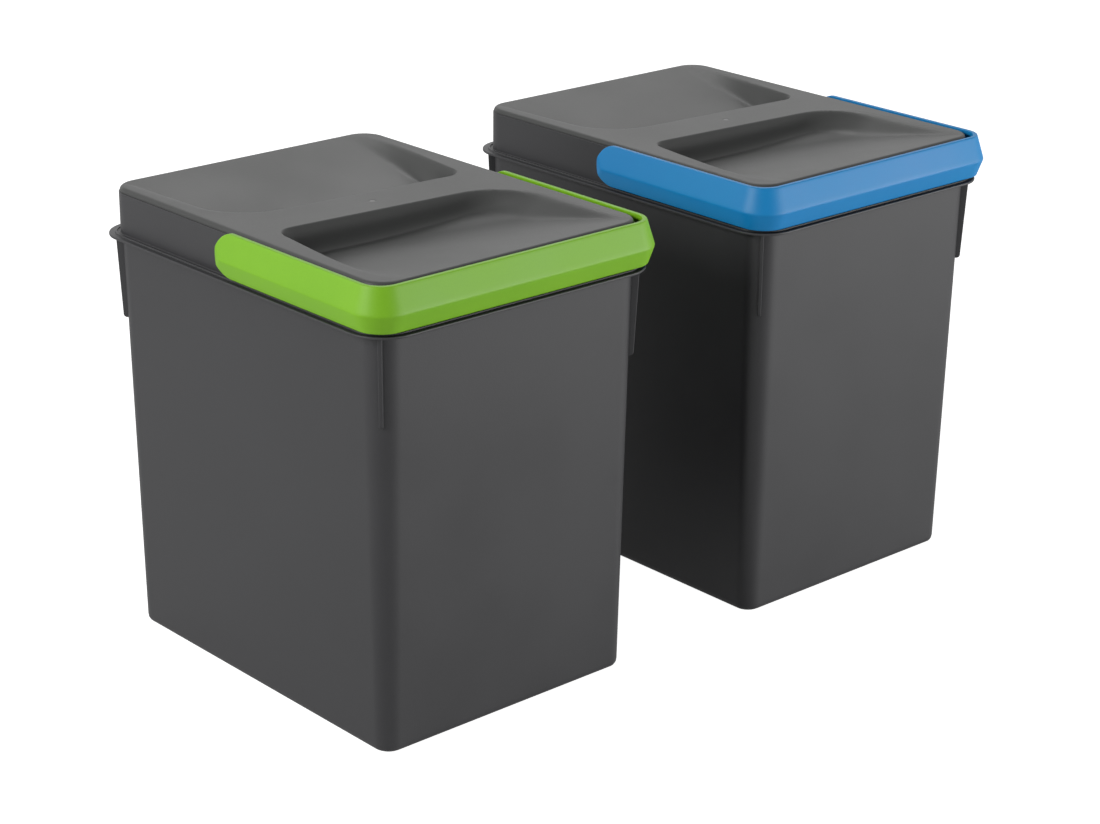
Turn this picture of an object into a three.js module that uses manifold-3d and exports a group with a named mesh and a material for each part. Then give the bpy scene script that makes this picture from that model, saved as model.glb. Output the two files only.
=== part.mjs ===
// A pair of waste sorting bins that stand side by side: each is a moulded bucket with a rim
// flange, a lift-off lid with two finger recesses, and a coloured handle that swings over it.
// Millimetres, +Z up, handles at rest on the front side, -Y. The origin is on the floor, at the
// middle of the pair's bounding box.
import * as THREE from "three";
import { mergeVertices } from "three/addons/utils/BufferGeometryUtils.js";
import Module from "manifold-3d";

const wasm = await Module();
wasm.setup();

// ---------- Driving dimensions ----------
// Outsets and insets are measured square to the collar's outer face.

const BIN_WIDTH = 184; // collar and lid, left to right
const BIN_DEPTH = 242; // collar and lid, front to back
const BIN_HEIGHT = 266; // floor to the lid's top
const BIN_SPACING = 275; // middle of one bin to middle of the other
const CORNER_RADIUS = 15; // of the collar and the lid, in plan
const LEAST_RADIUS = 3; // of the outline's corners far inside the collar
const CORNER_STEPS = 5; // flats on a quarter turn of a body corner
const ROUND_SIDES = 24; // flats on a full turn of a small round

const WALL = 2; // bucket wall
const FLOOR = 2.6; // bucket floor
const BODY_TOP_INSET = 1.2; // body wall under the flange
const BODY_FOOT_INSET = 5.2; // body wall at the floor
const FOOT_ROUND = 4; // bottom edge
const FOOT_RING = 12; // width of the flat ring the bin stands on
const FOOT_RECESS = 1.2; // how far the middle of the base stays off the floor

const FLANGE_DROP = 28; // the flange's underside below the lid's top
const FLANGE_THICKNESS = 1.4;
const FLANGE_OUTSET = 6.5;
const FLANGE_EDGE = 0.4; // bevel of its outer edge
const BEAD_HEIGHT = 0.7; // of the bead along the flange
const BEAD_WIDTH = 1.3;
const BEAD_SLANT = 0.3; // run of the bead's slanting side
const BEAD_SETBACK = 3.3; // from the flange's edge

const FIN_THICKNESS = 2.2; // corner fins under the flange
const FIN_LENGTH = 50;
const FIN_TOP_STANDOUT = 4.4;
const FIN_FOOT_STANDOUT = 2.8;
const FIN_END_ROUND = 1.8;
const FIN_ROOT = 1.1; // how far a fin is sunk into the wall

const LID_EDGE = 2.8; // lid edge that shows above the seam
const LID_SETBACK = 0.5; // lid's side face behind the collar's
const LID_EDGE_ROUND = 2.4;
const LID_THICKNESS = 2;
const SKIRT_CLEARANCE = 0.5; // lid skirt inside the collar
const SKIRT_DEPTH = 4.6;
const SKIRT_WALL = 1.6;

const GRIP_HALF_WIDTH = 16.8; // grip bar between the recesses, front to back
const GRIP_SLOPE = 0.07; // the bar runs slightly aslant
const STEEP_MARGIN = 18.5; // collar's side face to the steep end wall of a recess, beside the bar
const STEEP_SPLAY = 0.14; // that wall's rim spreads on its way from the bar
const SPLAY_END = 104; // and turns back, to be straight behind its start again this far on
const FOOT_MARGIN = 22; // collar's side face to that wall's foot, which runs straight
const SOFT_MARGIN = 15; // collar's side face to the soft end of a recess, beside the bar
const SOFT_SPLAY = 0.06; // that end spreads too
const RAMP_MARGIN = 3; // collar's front or rear face to where a recess runs out
const RAMP_ROUND = 0.03; // rounding of the ramp's outer end, in ramp lengths
const RAMP_DEPTH = 17; // of the ramp beside the bar
const RAMP_POWER = 1.1; // it runs out softly at the lid's edge
const SHELF_DEPTH = 21; // of the shelf along the bar, at its steep end
const SHELF_RISE = 0.081; // it rises towards the soft end
const SHELF_FALL = 0.06; // and falls away from the bar, until it meets the ramp
const SHELF_BLEND = 12; // sharpness of the line where shelf and ramp meet
const FAN_WIDTH = 30; // the floor's fold beside the steep wall
const FAN_DEPTH = 4.5;
const FAN_POWER = 1.2; // how soon the fold deepens, from the ramp's outer end
const TIGHT_RADIUS = 9; // recess corner at the steep end
const SOFT_RADIUS = 30; // recess corner at the soft end
const SOFTENING = 40; // how far from the soft end the walls begin to soften
const STEEP_SLOPE = 5; // wall drop over run, at most
const SOFT_SLOPE = 0.68;
const STEEP_RIM = 1.8; // half width of the rounded rim
const SOFT_RIM = 3;
const FOOT_BLEND = 7; // sharpness of the hollow where wall and floor meet
const FOOT_LINES = [-2, 0]; // surface grid lines, from a steep end wall's foot
const RIM_LINES = [-1.2, 0.3, 1.8]; // and from its rim
const BAR_LINES = [-1.8, 0, 1.8, 3.8, 7, 11, 16, 23]; // grid lines, from the bar's edge
const PLAIN_COLUMNS = 7; // evenly spread grid lines from the lid's middle to the steep wall
const PLAIN_ROWS = 8; // and from the last line beside the bar to the lid's corner

const HANDLE_GAP = 1.6; // handle's inner face to the collar
const HANDLE_HEIGHT = 24.8; // its top edge is level with the lid's top
const HANDLE_CORNER = 11; // inner corner radius in plan
const HANDLE_TOP_WIDTH = 2.6; // section width at the top edge
const HANDLE_RIDGE_WIDTH = 7.2; // section width at the ridge
const HANDLE_BOTTOM_WIDTH = 3.7; // section width at the bottom edge
const RIDGE_DROP = 14.6; // ridge below the top edge
const HANDLE_EDGE_ROUND = 0.8;
const HANDLE_TAIL = 10; // arm end behind the pivot
const HANDLE_END_BEVEL = 6; // length of the bevel on an arm's end
const HANDLE_END_WIDTH = 5; // section width left at the arm's tip
const HOLLOW_MARGIN = 3; // solid edge above and below the hollow in the handle's back
const HANDLE_WALL = 2.4;
const HOLLOW_STOP = 16; // solid arm in front of the pivot

const STUD_RADIUS = 4; // pivot stud on each arm
const STUD_CLEARANCE = 0.3; // in the collar's hole
const STUD_REACH = 0.2; // past the collar wall, short of the lid's skirt
const STUD_ROOT = 1.5; // sunk into the arm

const PLASTIC_GREY = "#3f3f41";
const LID_GREY = "#474747";
const HANDLE_GREEN = "#7ec13f";
const HANDLE_BLUE = "#1c86cf";

// ---------- Sizes worked out from them ----------

const halfWidth = BIN_WIDTH / 2;
const halfDepth = BIN_DEPTH / 2;
const collarTop = BIN_HEIGHT - LID_EDGE;
const flangeUnderside = BIN_HEIGHT - FLANGE_DROP;
const flangeTop = flangeUnderside + FLANGE_THICKNESS;
const pivotHeight = BIN_HEIGHT - HANDLE_HEIGHT / 2;
const handleHalfWidth = halfWidth + HANDLE_GAP;
const handleHalfDepth = halfDepth + HANDLE_GAP;
const handleOutset = HANDLE_GAP + HANDLE_RIDGE_WIDTH;
const middleShift = (handleOutset - FLANGE_OUTSET) / 2; // centres the bounding box front to back
const steepSide = halfWidth - STEEP_MARGIN;
const steepFoot = halfWidth - FOOT_MARGIN;
const softSide = halfWidth - SOFT_MARGIN;
const rampEnd = halfDepth - RAMP_MARGIN;
const holeRadius = STUD_RADIUS + STUD_CLEARANCE;
const roundStep = (2 * Math.PI) / ROUND_SIDES;

// ---------- Helpers ----------

// A closed mesh's geometry as a solid that can be joined and cut.
function solid(geometry) {
  const bare = geometry.index ? geometry.toNonIndexed() : geometry.clone();
  bare.deleteAttribute("normal");
  bare.deleteAttribute("uv");
  const merged = mergeVertices(bare, 1e-4);
  return new wasm.Manifold(
    new wasm.Mesh({
      numProp: 3,
      vertProperties: new Float32Array(merged.attributes.position.array),
      triVerts: new Uint32Array(merged.index.array),
    }),
  );
}

// The surface of a joined and cut solid.
function surface(made) {
  const mesh = made.getMesh();
  const geometry = new THREE.BufferGeometry();
  geometry.setAttribute("position", new THREE.BufferAttribute(mesh.vertProperties, 3));
  geometry.setIndex(new THREE.BufferAttribute(mesh.triVerts, 1));
  const flat = geometry.toNonIndexed();
  flat.computeVertexNormals();
  return flat;
}

// A geometry from a list of corner points and a list of triangles.
function geometryOf(points, triangles) {
  const geometry = new THREE.BufferGeometry();
  geometry.setAttribute("position", new THREE.Float32BufferAttribute(points.flat(), 3));
  geometry.setIndex(triangles.flat());
  return geometry;
}

// Two triangles for each side between two rings of as many points, numbered from a and from b.
function bandTriangles(a, b, count) {
  const triangles = [];
  for (let i = 0; i < count; i++) {
    const next = (i + 1) % count;
    triangles.push([a + i, a + next, b + next], [a + i, b + next, b + i]);
  }
  return triangles;
}

// The collar's plan outline grown by outset, at height z, counter-clockwise from +X.
function outlineRing(outset, z) {
  const radius = Math.max(CORNER_RADIUS + outset, LEAST_RADIUS);
  const ring = [];
  for (let quarter = 0; quarter < 4; quarter++) {
    const signX = quarter === 0 || quarter === 3 ? 1 : -1;
    const signY = quarter < 2 ? 1 : -1;
    for (let step = 0; step <= CORNER_STEPS; step++) {
      const angle = (quarter + step / CORNER_STEPS) * (Math.PI / 2);
      const x = signX * (halfWidth + outset - radius) + radius * Math.cos(angle);
      const y = signY * (halfDepth + outset - radius) + radius * Math.sin(angle);
      ring.push([x, y, z]);
    }
  }
  return ring;
}

// A closed body through a list of rings, closed flat at the first and at the last.
function loft(rings) {
  const count = rings[0].length;
  const last = (rings.length - 1) * count;
  const points = rings.flat();
  const triangles = [];
  for (let k = 0; k + 1 < rings.length; k++) {
    triangles.push(...bandTriangles(k * count, (k + 1) * count, count));
  }
  const startMiddle = points.length;
  points.push([0, 0, rings[0][0][2]]);
  const endMiddle = points.length;
  points.push([0, 0, rings[rings.length - 1][0][2]]);
  for (let i = 0; i < count; i++) {
    const next = (i + 1) % count;
    triangles.push([startMiddle, next, i], [endMiddle, last + i, last + next]);
  }
  return geometryOf(points, triangles);
}

// A cylinder along X between two places.
function rodAlongX(radius, fromX, toX) {
  const rod = new THREE.CylinderGeometry(radius, radius, toX - fromX, ROUND_SIDES);
  rod.rotateZ(Math.PI / 2);
  rod.translate((fromX + toX) / 2, 0, 0);
  return rod;
}

// ---------- Bucket ----------

// Inset of the body's outer face at height z: the walls taper for the mould.
function bodyInset(z) {
  const share = z / flangeUnderside;
  return BODY_FOOT_INSET + (BODY_TOP_INSET - BODY_FOOT_INSET) * share;
}

function bucketShell() {
  const rings = [];
  const ringAt = (outset, z) => rings.push(outlineRing(outset, z));
  // base, with its middle raised off the floor
  const ringInner = BODY_FOOT_INSET + FOOT_ROUND + FOOT_RING;
  ringAt(-ringInner - FOOT_RECESS, FOOT_RECESS);
  ringAt(-ringInner, 0);
  for (let step = 0; step <= 3; step++) {
    const angle = (step / 3) * (Math.PI / 2);
    const z = FOOT_ROUND * (1 - Math.cos(angle));
    ringAt(-bodyInset(z) - FOOT_ROUND * (1 - Math.sin(angle)), z);
  }
  // outer face, flange with its bead, and collar
  const beadOuter = FLANGE_OUTSET - BEAD_SETBACK;
  const beadInner = beadOuter - BEAD_WIDTH;
  ringAt(-BODY_TOP_INSET, flangeUnderside);
  ringAt(FLANGE_OUTSET - FLANGE_EDGE, flangeUnderside);
  ringAt(FLANGE_OUTSET, flangeUnderside + FLANGE_EDGE);
  ringAt(FLANGE_OUTSET, flangeTop - FLANGE_EDGE);
  ringAt(FLANGE_OUTSET - FLANGE_EDGE, flangeTop);
  ringAt(beadOuter, flangeTop);
  ringAt(beadOuter - BEAD_SLANT, flangeTop + BEAD_HEIGHT);
  ringAt(beadInner + BEAD_SLANT, flangeTop + BEAD_HEIGHT);
  ringAt(beadInner, flangeTop);
  ringAt(0, flangeTop);
  ringAt(0, collarTop);
  // inner face and floor
  ringAt(-WALL, collarTop);
  ringAt(-WALL, flangeUnderside + FLANGE_THICKNESS / 2);
  ringAt(-WALL - BODY_TOP_INSET, flangeUnderside - FLANGE_THICKNESS);
  for (let step = 0; step <= 2; step++) {
    const angle = (step / 2) * (Math.PI / 2);
    const z = FLOOR + FOOT_RECESS + FOOT_ROUND * (1 - Math.sin(angle));
    ringAt(-WALL - bodyInset(z) - FOOT_ROUND * (1 - Math.cos(angle)), z);
  }
  return solid(loft(rings));
}

// One fin, standing out along +X from the wall's face at a body corner, before it is turned.
function cornerFin() {
  const top = flangeUnderside + FLANGE_THICKNESS / 2;
  const foot = flangeUnderside - FIN_LENGTH;
  const topFace = -BODY_TOP_INSET;
  const footFace = -bodyInset(foot);
  const profile = new THREE.Shape();
  profile.moveTo(footFace - FIN_ROOT, foot);
  profile.lineTo(footFace + FIN_FOOT_STANDOUT - FIN_END_ROUND, foot);
  profile.quadraticCurveTo(
    footFace + FIN_FOOT_STANDOUT,
    foot,
    footFace + FIN_FOOT_STANDOUT,
    foot + FIN_END_ROUND,
  );
  profile.lineTo(topFace + FIN_TOP_STANDOUT, top);
  profile.lineTo(topFace - FIN_ROOT, top);
  const fin = new THREE.ExtrudeGeometry(profile, {
    depth: FIN_THICKNESS,
    bevelEnabled: false,
    curveSegments: 3,
  });
  fin.translate(0, 0, -FIN_THICKNESS / 2);
  fin.rotateX(Math.PI / 2);
  fin.translate(CORNER_RADIUS, 0, 0);
  return fin;
}

function bucketGeometry() {
  let bucket = bucketShell();
  for (const signX of [-1, 1]) {
    for (const signY of [-1, 1]) {
      const fin = cornerFin();
      fin.rotateZ(Math.atan2(signY, signX));
      const cornerX = signX * (halfWidth - CORNER_RADIUS);
      const cornerY = signY * (halfDepth - CORNER_RADIUS);
      fin.translate(cornerX, cornerY, 0);
      bucket = bucket.add(solid(fin));
    }
    const hole = rodAlongX(holeRadius, halfWidth - 2 * WALL, halfWidth + WALL);
    hole.translate(0, 0, pivotHeight);
    if (signX < 0) hole.rotateZ(Math.PI);
    bucket = bucket.subtract(solid(hole));
  }
  return surface(bucket);
}

// ---------- Lid ----------

// A value that rises from 0 with a rounded start: 0 below -round, the value itself above round.
function roundedStart(value, round) {
  if (value <= -round) return 0;
  if (value >= round) return value;
  return ((value + round) * (value + round)) / (4 * round);
}

// The lesser of two positive values, with a rounded change from one to the other.
function lesser(a, b, sharpness) {
  return Math.pow(Math.pow(a, -sharpness) + Math.pow(b, -sharpness), -1 / sharpness);
}

// How far the steep wall's rim has spread at a distance past the bar.
function steepSpread(past) {
  const share = Math.min(Math.max(past / SPLAY_END, 0), 1);
  return STEEP_SPLAY * past * (1 - Math.pow(share, 5));
}

// Depth of the rear recess at a place on the lid, with its walls moved out by grow.
function rearRecessDepth(x, y, grow) {
  const barEdge = GRIP_HALF_WIDTH - GRIP_SLOPE * x;
  const fromBar = (y - barEdge) / Math.hypot(1, GRIP_SLOPE) + grow;
  const steepX = steepSide + steepSpread(y - GRIP_HALF_WIDTH);
  const fromSteep = (steepX - x) / Math.hypot(1, STEEP_SPLAY) + grow;
  const softX = softSide + SOFT_SPLAY * (y - GRIP_HALF_WIDTH);
  const fromSoft = x + softX + grow;
  // floor: a ramp from the bar out to the lid's edge, folded down beside the steep wall, and a
  // shelf along the bar that rises out of the ramp towards the soft end
  const rise = roundedStart((rampEnd - y) / (rampEnd - barEdge), RAMP_ROUND);
  if (rise <= 0) return 0;
  const fold = Math.max(1 - Math.max(fromSteep, 0) / (FAN_WIDTH * rise), 0);
  const fan = FAN_DEPTH * Math.pow(rise, FAN_POWER) * fold * fold;
  const ramp = RAMP_DEPTH * Math.pow(rise, RAMP_POWER) + fan;
  const shelf = SHELF_DEPTH - SHELF_RISE * (steepSide - x) + SHELF_FALL * (y - barEdge);
  // walls: steep at the bar and at one end, growing soft towards the other end, with both
  // corners round in plan
  let run = Math.min(fromBar, fromSteep, fromSoft);
  if (fromBar < TIGHT_RADIUS && fromSteep < TIGHT_RADIUS) {
    run = TIGHT_RADIUS - Math.hypot(TIGHT_RADIUS - fromBar, TIGHT_RADIUS - fromSteep);
  }
  if (fromBar < SOFT_RADIUS && fromSoft < SOFT_RADIUS) {
    run = SOFT_RADIUS - Math.hypot(SOFT_RADIUS - fromBar, SOFT_RADIUS - fromSoft);
  }
  const steepSlope = Math.min(ramp / (steepX - steepFoot), STEEP_SLOPE);
  const steepWall = steepSlope * roundedStart(run, STEEP_RIM);
  const softWall = SOFT_SLOPE * roundedStart(run, SOFT_RIM);
  if (steepWall <= 0 || softWall <= 0) return 0;
  const towardsSoft = Math.max(SOFTENING - fromSoft, 0);
  const turned = Math.atan2(towardsSoft, Math.max(SOFTENING - fromBar, 0)) / (Math.PI / 2);
  const softShare = turned * turned * (3 - 2 * turned);
  const wall = Math.pow(steepWall, 1 - softShare) * Math.pow(softWall, softShare);
  return lesser(lesser(ramp, shelf, SHELF_BLEND), wall, FOOT_BLEND);
}

// Both recesses: the front one is the rear one turned half round about the lid's middle.
function recessDepth(x, y, grow) {
  return y > -GRIP_SLOPE * x ? rearRecessDepth(x, y, grow) : rearRecessDepth(-x, -y, grow);
}

// Evenly spread values between two values.
function spread(from, to, count) {
  return Array.from({ length: count }, (_, i) => from + ((to - from) * (i + 1)) / (count + 1));
}

// Grid lines across the lid, placed where the recess walls need them; the outermost lines
// follow the lid's outline, inset by the given amount.
function lidGrid(inset, top, grow) {
  const outerX = halfWidth - inset;
  const radius = CORNER_RADIUS - inset;
  const straightY = halfDepth - CORNER_RADIUS;
  const foot = steepFoot + grow;
  const nearFoot = FOOT_LINES.map((offset) => foot + offset);
  const nearRim = RIM_LINES.map((offset) => steepSide + grow + offset);
  const wallTop = nearRim[0];
  const lastNear = nearRim[nearRim.length - 1];
  const columnsHalf = [
    ...spread(0, nearFoot[0], PLAIN_COLUMNS),
    ...nearFoot,
    (foot + wallTop) / 2,
    ...nearRim,
    (lastNear + outerX) / 2,
    outerX,
  ];
  const bar = GRIP_HALF_WIDTH - grow;
  const nearBar = BAR_LINES.map((offset) => bar + offset);
  const lastRow = nearBar[nearBar.length - 1];
  const rowsHalf = [bar / 2, ...nearBar, ...spread(lastRow, straightY, PLAIN_ROWS)];
  for (let step = 0; step <= CORNER_STEPS; step++) {
    rowsHalf.push(straightY + radius * Math.sin((step / CORNER_STEPS) * (Math.PI / 2)));
  }
  const mirrored = (half) => [...half.map((v) => -v).reverse(), ...half];
  const columns = mirrored(columnsHalf);
  const rows = mirrored(rowsHalf);
  // A column's distance from the middle, at a distance past the bar on the side of the steep
  // wall: the lines follow that wall as it widens between its straight foot and spreading rim.
  const placeColumn = (column, past) => {
    const splay = steepSpread(past);
    if (column <= foot) return column;
    if (column <= wallTop) return column + (splay * (column - foot)) / (wallTop - foot);
    if (column <= lastNear) return column + splay;
    const out = (column - lastNear) / (outerX - lastNear);
    return (lastNear + splay) * (1 - out) + outerX * out;
  };
  const points = [];
  for (const rowY of rows) {
    const reach = Math.abs(rowY);
    const over = Math.min(Math.max((reach - straightY) / radius, 0), 1);
    const rowHalf = outerX - radius * (1 - Math.sqrt(1 - over * over));
    // rows turn from along the bar to along the lid's edge
    const turned = Math.max(reach - lastRow, 0) / (straightY - lastRow);
    const skew = GRIP_SLOPE * Math.max(1 - turned, 0);
    for (const columnX of columns) {
      const side = Math.sign(columnX);
      const y = rowY - skew * columnX;
      const past = side * rowY > 0 ? Math.max(Math.abs(y) - GRIP_HALF_WIDTH, 0) : 0;
      const x = side * placeColumn(Math.abs(columnX), past) * (rowHalf / outerX);
      points.push([x, y, top - recessDepth(x, y, grow)]);
    }
  }
  // How far the middle of a line between two points is from the true surface.
  const miss = (p, q) => {
    const [x, y, z] = p.map((value, axis) => (value + q[axis]) / 2);
    return Math.abs(z - (top - recessDepth(x, y, grow)));
  };
  const wide = columns.length;
  const high = rows.length;
  const triangles = [];
  for (let j = 0; j + 1 < high; j++) {
    for (let i = 0; i + 1 < wide; i++) {
      // each cell is cut along the diagonal that lies nearer the true surface
      const [a, b, c, d] = [0, 1, wide + 1, wide].map((offset) => j * wide + i + offset);
      if (miss(points[a], points[c]) < miss(points[b], points[d])) triangles.push([a, b, c], [a, c, d]);
      else triangles.push([a, b, d], [b, c, d]);
    }
  }
  // the outermost points in order, counter-clockwise
  const border = [];
  for (let i = 0; i + 1 < wide; i++) border.push(i);
  for (let j = 0; j + 1 < high; j++) border.push(j * wide + wide - 1);
  for (let i = wide - 1; i > 0; i--) border.push((high - 1) * wide + i);
  for (let j = high - 1; j > 0; j--) border.push(j * wide);
  return { points, triangles, border };
}

// A point of the lid's outline moved square to the outline, from one inset to another.
function moveInset(point, fromInset, toInset, z) {
  const middleX = Math.sign(point[0]) * (halfWidth - CORNER_RADIUS);
  const middleY = Math.sign(point[1]) * (halfDepth - CORNER_RADIUS);
  const offX = Math.abs(point[0]) > Math.abs(middleX) ? point[0] - middleX : 0;
  const offY = Math.abs(point[1]) > Math.abs(middleY) ? point[1] - middleY : 0;
  const length = Math.hypot(offX, offY);
  const shift = (fromInset - toInset) / length;
  return [point[0] + offX * shift, point[1] + offY * shift, z];
}

function lidGeometry() {
  const skirtOuter = WALL + SKIRT_CLEARANCE;
  const skirtInner = skirtOuter + SKIRT_WALL;
  const underside = BIN_HEIGHT - LID_THICKNESS;
  const topInset = LID_SETBACK + LID_EDGE_ROUND;
  const upper = lidGrid(topInset, BIN_HEIGHT, 0);
  const lower = lidGrid(skirtInner, underside, LID_THICKNESS + LID_THICKNESS / STEEP_SLOPE);
  const points = [...upper.points];
  const triangles = [...upper.triangles];
  const count = upper.border.length;
  const rims = [upper.border];
  const addRing = (inset, z) => {
    const start = points.length;
    for (const index of upper.border) {
      points.push(moveInset(upper.points[index], topInset, inset, z));
    }
    rims.push(Array.from({ length: count }, (_, i) => start + i));
  };
  for (let step = 1; step <= 3; step++) {
    const angle = (step / 3) * (Math.PI / 2);
    const inset = LID_SETBACK + LID_EDGE_ROUND * (1 - Math.sin(angle));
    addRing(inset, BIN_HEIGHT - LID_EDGE_ROUND * (1 - Math.cos(angle)));
  }
  addRing(LID_SETBACK, collarTop);
  addRing(skirtOuter, collarTop);
  addRing(skirtOuter, collarTop - SKIRT_DEPTH);
  addRing(skirtInner, collarTop - SKIRT_DEPTH);
  const lowerStart = points.length;
  points.push(...lower.points);
  rims.push(lower.border.map((index) => lowerStart + index));
  for (const [a, b, c] of lower.triangles) {
    triangles.push([lowerStart + a, lowerStart + c, lowerStart + b]);
  }
  for (let k = 0; k + 1 < rims.length; k++) {
    for (let i = 0; i < count; i++) {
      const next = (i + 1) % count;
      const [a, b] = [rims[k][i], rims[k][next]];
      const [c, d] = [rims[k + 1][i], rims[k + 1][next]];
      triangles.push([a, d, b], [a, c, d]);
    }
  }
  return surface(solid(geometryOf(points, triangles)));
}

// ---------- Handle ----------
// It is drawn about its pivot axis, which lies along X through the origin.

// The handle's plan line as a list of places with the outward direction at each: from the tail
// of the right arm round the front to the tail of the left arm.
function handleStations(tail) {
  const stations = [{ x: handleHalfWidth, y: tail, outX: 1, outY: 0 }];
  for (const side of [1, -1]) {
    for (let step = 0; step <= CORNER_STEPS; step++) {
      const turn = side > 0 ? step / CORNER_STEPS : 1 - step / CORNER_STEPS;
      const outX = side * Math.cos((turn * Math.PI) / 2);
      const outY = -Math.sin((turn * Math.PI) / 2);
      const x = side * (handleHalfWidth - HANDLE_CORNER) + HANDLE_CORNER * outX;
      const y = -(handleHalfDepth - HANDLE_CORNER) + HANDLE_CORNER * outY;
      stations.push({ x, y, outX, outY });
    }
  }
  stations.push({ x: -handleHalfWidth, y: tail, outX: -1, outY: 0 });
  return stations;
}

// A body with one convex section carried along the handle's plan line. A section point is its
// distance outwards from the handle's inner face, and its height.
function sweepHandle(section, tail) {
  const stations = handleStations(tail);
  const count = section.length;
  const points = [];
  for (const { x, y, outX, outY } of stations) {
    for (const [out, z] of section) points.push([x + outX * out, y + outY * out, z]);
  }
  const last = (stations.length - 1) * count;
  const triangles = [];
  for (let k = 0; k + 1 < stations.length; k++) {
    triangles.push(...bandTriangles(k * count, (k + 1) * count, count));
  }
  for (let i = 1; i + 1 < count; i++) {
    triangles.push([0, i + 1, i], [last, last + i, last + i + 1]);
  }
  return solid(geometryOf(points, triangles));
}

// The handle seen from the side: a band with rounded arm ends.
function sideOutline() {
  const half = HANDLE_HEIGHT / 2;
  const frontY = -handleHalfDepth - 2 * HANDLE_RIDGE_WIDTH;
  const bend = HANDLE_TAIL - half;
  const shape = new THREE.Shape();
  shape.moveTo(frontY, -half);
  shape.lineTo(bend, -half);
  shape.absarc(bend, 0, half, -Math.PI / 2, Math.PI / 2);
  shape.lineTo(frontY, half);
  const reach = handleHalfWidth + 2 * HANDLE_RIDGE_WIDTH;
  const plate = new THREE.ExtrudeGeometry(shape, {
    depth: 2 * reach,
    bevelEnabled: false,
    curveSegments: ROUND_SIDES / 2,
  });
  plate.translate(0, 0, -reach);
  const axes = new THREE.Matrix4().makeBasis(
    new THREE.Vector3(0, 1, 0),
    new THREE.Vector3(0, 0, 1),
    new THREE.Vector3(1, 0, 0),
  );
  plate.applyMatrix4(axes);
  return solid(plate);
}

// The handle seen from above: its arm ends are bevelled on the outside.
function planOutline() {
  const tipX = handleHalfWidth + HANDLE_END_WIDTH;
  const bevelRun = HANDLE_RIDGE_WIDTH - HANDLE_END_WIDTH;
  const wideX = tipX + 2 * bevelRun;
  const wideY = HANDLE_TAIL - 2 * HANDLE_END_BEVEL;
  const frontY = -handleHalfDepth - 2 * HANDLE_RIDGE_WIDTH;
  const shape = new THREE.Shape();
  shape.moveTo(-wideX, frontY);
  shape.lineTo(wideX, frontY);
  shape.lineTo(wideX, wideY);
  shape.lineTo(tipX, HANDLE_TAIL);
  shape.lineTo(-tipX, HANDLE_TAIL);
  shape.lineTo(-wideX, wideY);
  const plate = new THREE.ExtrudeGeometry(shape, {
    depth: 2 * HANDLE_HEIGHT,
    bevelEnabled: false,
  });
  plate.translate(0, 0, -HANDLE_HEIGHT);
  return solid(plate);
}

function handleGeometry() {
  const half = HANDLE_HEIGHT / 2;
  const ridge = half - RIDGE_DROP;
  const round = HANDLE_EDGE_ROUND;
  const band = [
    [0, -half],
    [HANDLE_BOTTOM_WIDTH - round, -half],
    [HANDLE_BOTTOM_WIDTH, -half + round],
    [HANDLE_RIDGE_WIDTH, ridge],
    [HANDLE_TOP_WIDTH, half - round],
    [HANDLE_TOP_WIDTH - round, half],
    [0, half],
  ];
  const hollowHalf = half - HOLLOW_MARGIN;
  const hollow = [
    [-HANDLE_WALL, -hollowHalf],
    [HANDLE_BOTTOM_WIDTH - HANDLE_WALL, -hollowHalf],
    [HANDLE_RIDGE_WIDTH - HANDLE_WALL, ridge],
    [HANDLE_TOP_WIDTH - HANDLE_WALL, hollowHalf],
    [-HANDLE_WALL, hollowHalf],
  ];
  let handle = sweepHandle(band, HANDLE_TAIL);
  handle = handle.intersect(sideOutline()).intersect(planOutline());
  handle = handle.subtract(sweepHandle(hollow, -HOLLOW_STOP));
  const studTip = halfWidth - WALL - STUD_REACH;
  for (const turn of [0, Math.PI]) {
    const stud = rodAlongX(STUD_RADIUS, studTip, handleHalfWidth + STUD_ROOT);
    stud.rotateX(roundStep / 2);
    stud.rotateZ(turn);
    handle = handle.add(solid(stud));
  }
  return surface(handle);
}

// ---------- The pair ----------

function mesh(name, geometry, color, roughness) {
  const material = new THREE.MeshStandardMaterial({ color, roughness, metalness: 0 });
  const made = new THREE.Mesh(geometry, material);
  made.name = name;
  return made;
}

// One bin about its own middle: bucket, lid on the collar, handle on its two studs.
function bin(name, handleColor) {
  const group = new THREE.Group();
  const bucket = mesh(name + "_bin_bucket", bucketGeometry(), PLASTIC_GREY, 0.5);
  const lid = mesh(name + "_bin_lid", lidGeometry(), LID_GREY, 0.5);
  const handle = mesh(name + "_bin_handle", handleGeometry(), handleColor, 0.4);
  handle.position.z = pivotHeight;
  group.add(bucket, lid, handle);
  return group;
}

const pair = new THREE.Group();
const greenBin = bin("green", HANDLE_GREEN);
greenBin.position.set(-BIN_SPACING / 2, middleShift, 0);
const blueBin = bin("blue", HANDLE_BLUE);
blueBin.position.set(BIN_SPACING / 2, middleShift, 0);
pair.add(greenBin, blueBin);

export default pair;
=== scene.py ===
# A pair of waste sorting bins for a kitchen drawer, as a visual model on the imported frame.
# Each bin is a moulded bucket, a lift-off lid and a coloured handle that swings over the lid.
# Metres, +Z up, handles at rest on the front side, -Y; the sizes of the pieces are millimetres.

import math

import bpy
import numpy as np
from mathutils import Matrix


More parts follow.
